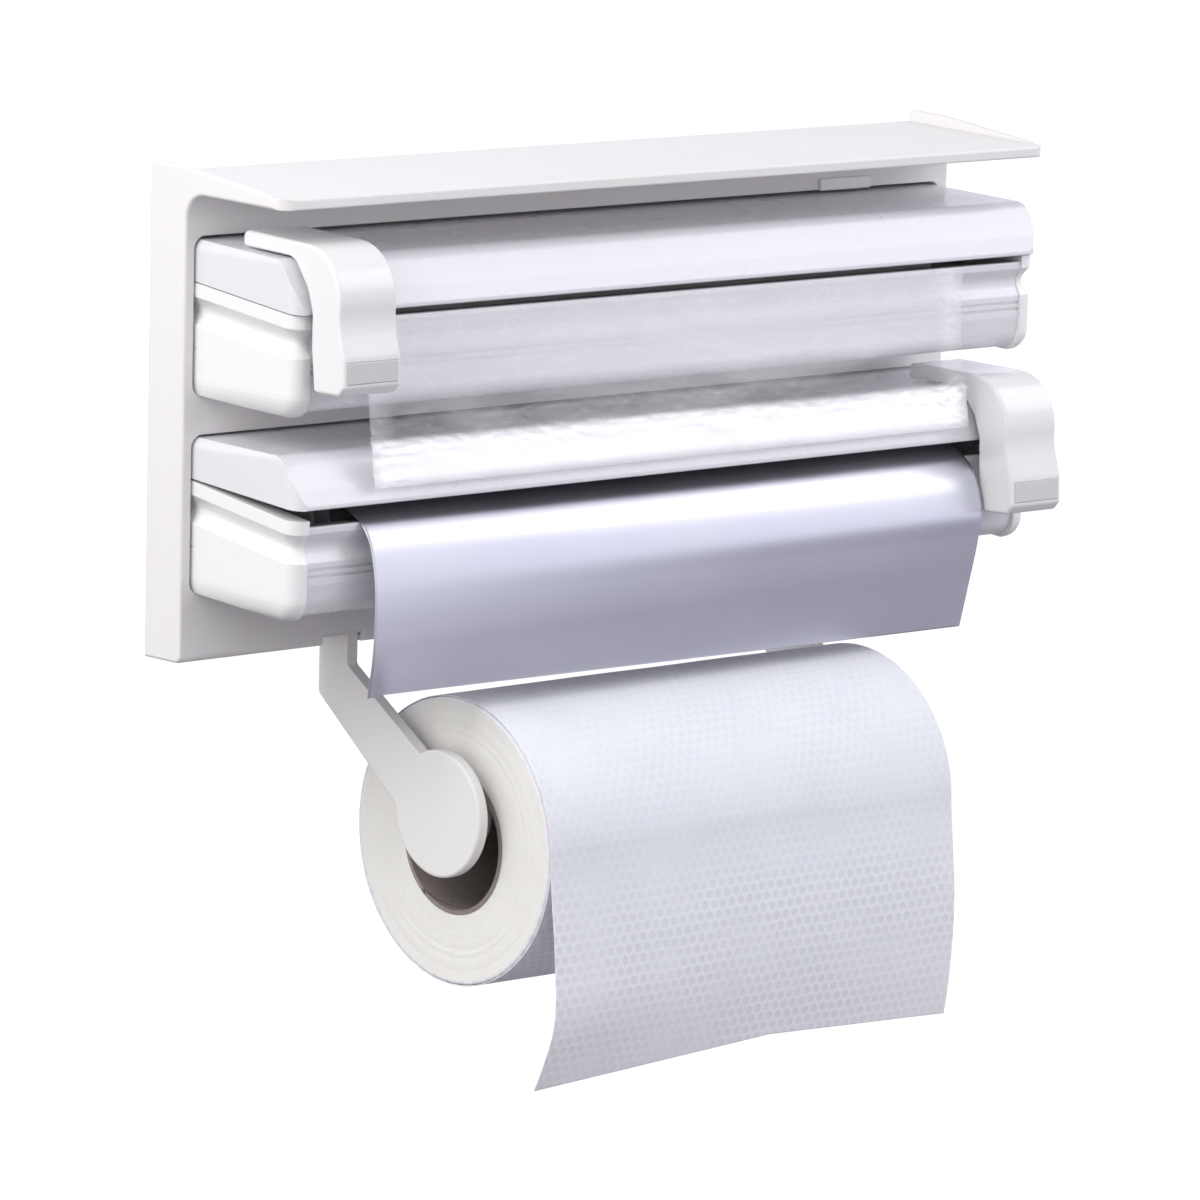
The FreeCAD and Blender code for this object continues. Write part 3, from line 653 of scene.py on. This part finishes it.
def tail_point(u, v):
    """The outer turn of the roll from its inner end, then the hanging end."""
    x = TAIL_X[0] + (TAIL_X[1] - TAIL_X[0]) * u
    if v < WRAP_SHARE:
        share = v / WRAP_SHARE
        angle = WRAP_START + WRAP_TURN * (1.0 - share)
        radius = ROLL_RADIUS + (WRAP_GAP[0] * (1 - share) + WRAP_GAP[1] * share) * MM
        spot = Vector((x * 0.02, math.cos(angle) * 1.3, math.sin(angle) * 1.3))
        soft = 0.3 * MM * noise.noise(spot)
        radius += max(soft, -0.05 * MM) * smooth_step(share, 0.02, 0.1)
        return (x * MM, ROLL_Y - radius * math.cos(angle), ROLL_Z + radius * math.sin(angle))
    v = (v - WRAP_SHARE) / (1.0 - WRAP_SHARE)
    left = along(TAIL_LEFT, v)
    far = along(TAIL_RIGHT, v)
    share = min(u / TAIL_NICK, 1.0) * 0.85 + 0.15 * u
    y = left[0] * (1 - share) + far[0] * share
    z = left[1] * (1 - share) + far[1] * share
    lower = smooth_step(v, 0.45, 1.0)
    if u < TAIL_NICK:
        rise = TAIL_RISE * u / TAIL_NICK
    else:
        rise = TAIL_RISE * (1 - (u - TAIL_NICK) / (1 - TAIL_NICK))
    z += lower * rise
    wave = lower * 0.5 * noise.noise(Vector((u * 4.0, v * 2.0, 31.0)))
    return (x * MM, (y + wave) * MM, z * MM)


tail, tail_run = sheet_mesh("paper_hanging_end", 240, 380, tail_point, looks["paper_white"], TAIL_THICK)
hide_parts("paper_tail")
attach(tail, "left_arm")


# ------------------------------------------------------------------ floor and light

FLOOR_Z = -1.2
FLOOR_REACH = 60.0
FLOOR_SIDES = 96
floor_mesh = bpy.data.meshes.new("floor")
ring = []
for step in range(FLOOR_SIDES):
    angle = 2 * math.pi * step / FLOOR_SIDES
    ring.append((FLOOR_REACH * math.cos(angle), FLOOR_REACH * math.sin(angle), FLOOR_Z))
floor_mesh.from_pydata(ring, [], [tuple(range(FLOOR_SIDES))])
floor = bpy.data.objects.new("floor", floor_mesh)
scene.collection.objects.link(floor)
floor_net = Net("floor_look")
floor_cloud = floor_net.noise(floor_net.coords(), 0.8, 3.0)
floor_tone = floor_net.mix(floor_net.range(floor_cloud, 0.3, 0.7),
                           rgb(0.93, 0.93, 0.935), rgb(0.95, 0.95, 0.955))
floor_mesh.materials.append(floor_net.finish(Base_Color=floor_tone, Roughness=0.9,
                                             Emission_Color=floor_tone, Emission_Strength=0.5))
floor.visible_diffuse = False
floor.visible_glossy = False

world = bpy.data.worlds.new("studio")
world.use_nodes = True
scene.world = world
sky = Net("studio", world.node_tree)
heading = sky.node("TexCoord").outputs["Generated"]
east, _, height = sky.split(heading)
front_tone = sky.mix(sky.range(east, -0.2, 0.7, smooth=True),
                     rgb(0.90, 0.90, 0.91), rgb(1.10, 1.10, 1.25))
wall_tone = sky.mix(sky.range(east, -1.0, -0.55, smooth=True), rgb(1.56, 1.55, 1.53), front_tone)
above = sky.mix(sky.range(height, 0.15, 0.65, smooth=True), wall_tone, rgb(0.60, 0.60, 0.61))
low_band = sky.range(height, -0.66, -0.55, smooth=True)
low_east = sky.math("MULTIPLY", sky.range(east, 0.45, 0.72, smooth=True), low_band)
below = sky.mix(low_east, rgb(0.20, 0.19, 0.21), rgb(0.44, 0.44, 0.52))
whole = sky.mix(sky.range(height, 0.0, -0.4, smooth=True), above, below)
backdrop = sky.node("Background", {"Color": whole, "Strength": 0.95})
world_out = sky.node("OutputWorld")
world.node_tree.links.new(backdrop.outputs[0], world_out.inputs["Surface"])


def softbox(name, place, target, width, depth, power, colour):
    """Rectangular area light of this size in metres and power in watts, aimed at the target."""
    data = bpy.data.lights.new(name, "AREA")
    data.shape = "RECTANGLE"
    data.size = width
    data.size_y = depth
    data.energy = power
    data.color = colour
    lamp = bpy.data.objects.new(name, data)
    scene.collection.objects.link(lamp)
    lamp.location = place
    lamp.rotation_euler = (Vector(target) - Vector(place)).to_track_quat("-Z", "Y").to_euler()
    return lamp


CENTRE = (0.0, -0.05, -0.06)
softbox("key", (-1.05, -0.12, 0.72), CENTRE, 0.7, 0.7, 8.0, (1.0, 0.995, 0.985))
fill = softbox("fill", (0.8, -2.2, 0.35), CENTRE, 1.2, 0.8, 5.0, (1.0, 1.0, 1.0))
fill.visible_glossy = False
softbox("rim", (1.35, -0.85, 1.0), CENTRE, 1.7, 0.9, 9.0, (0.97, 0.97, 1.0))
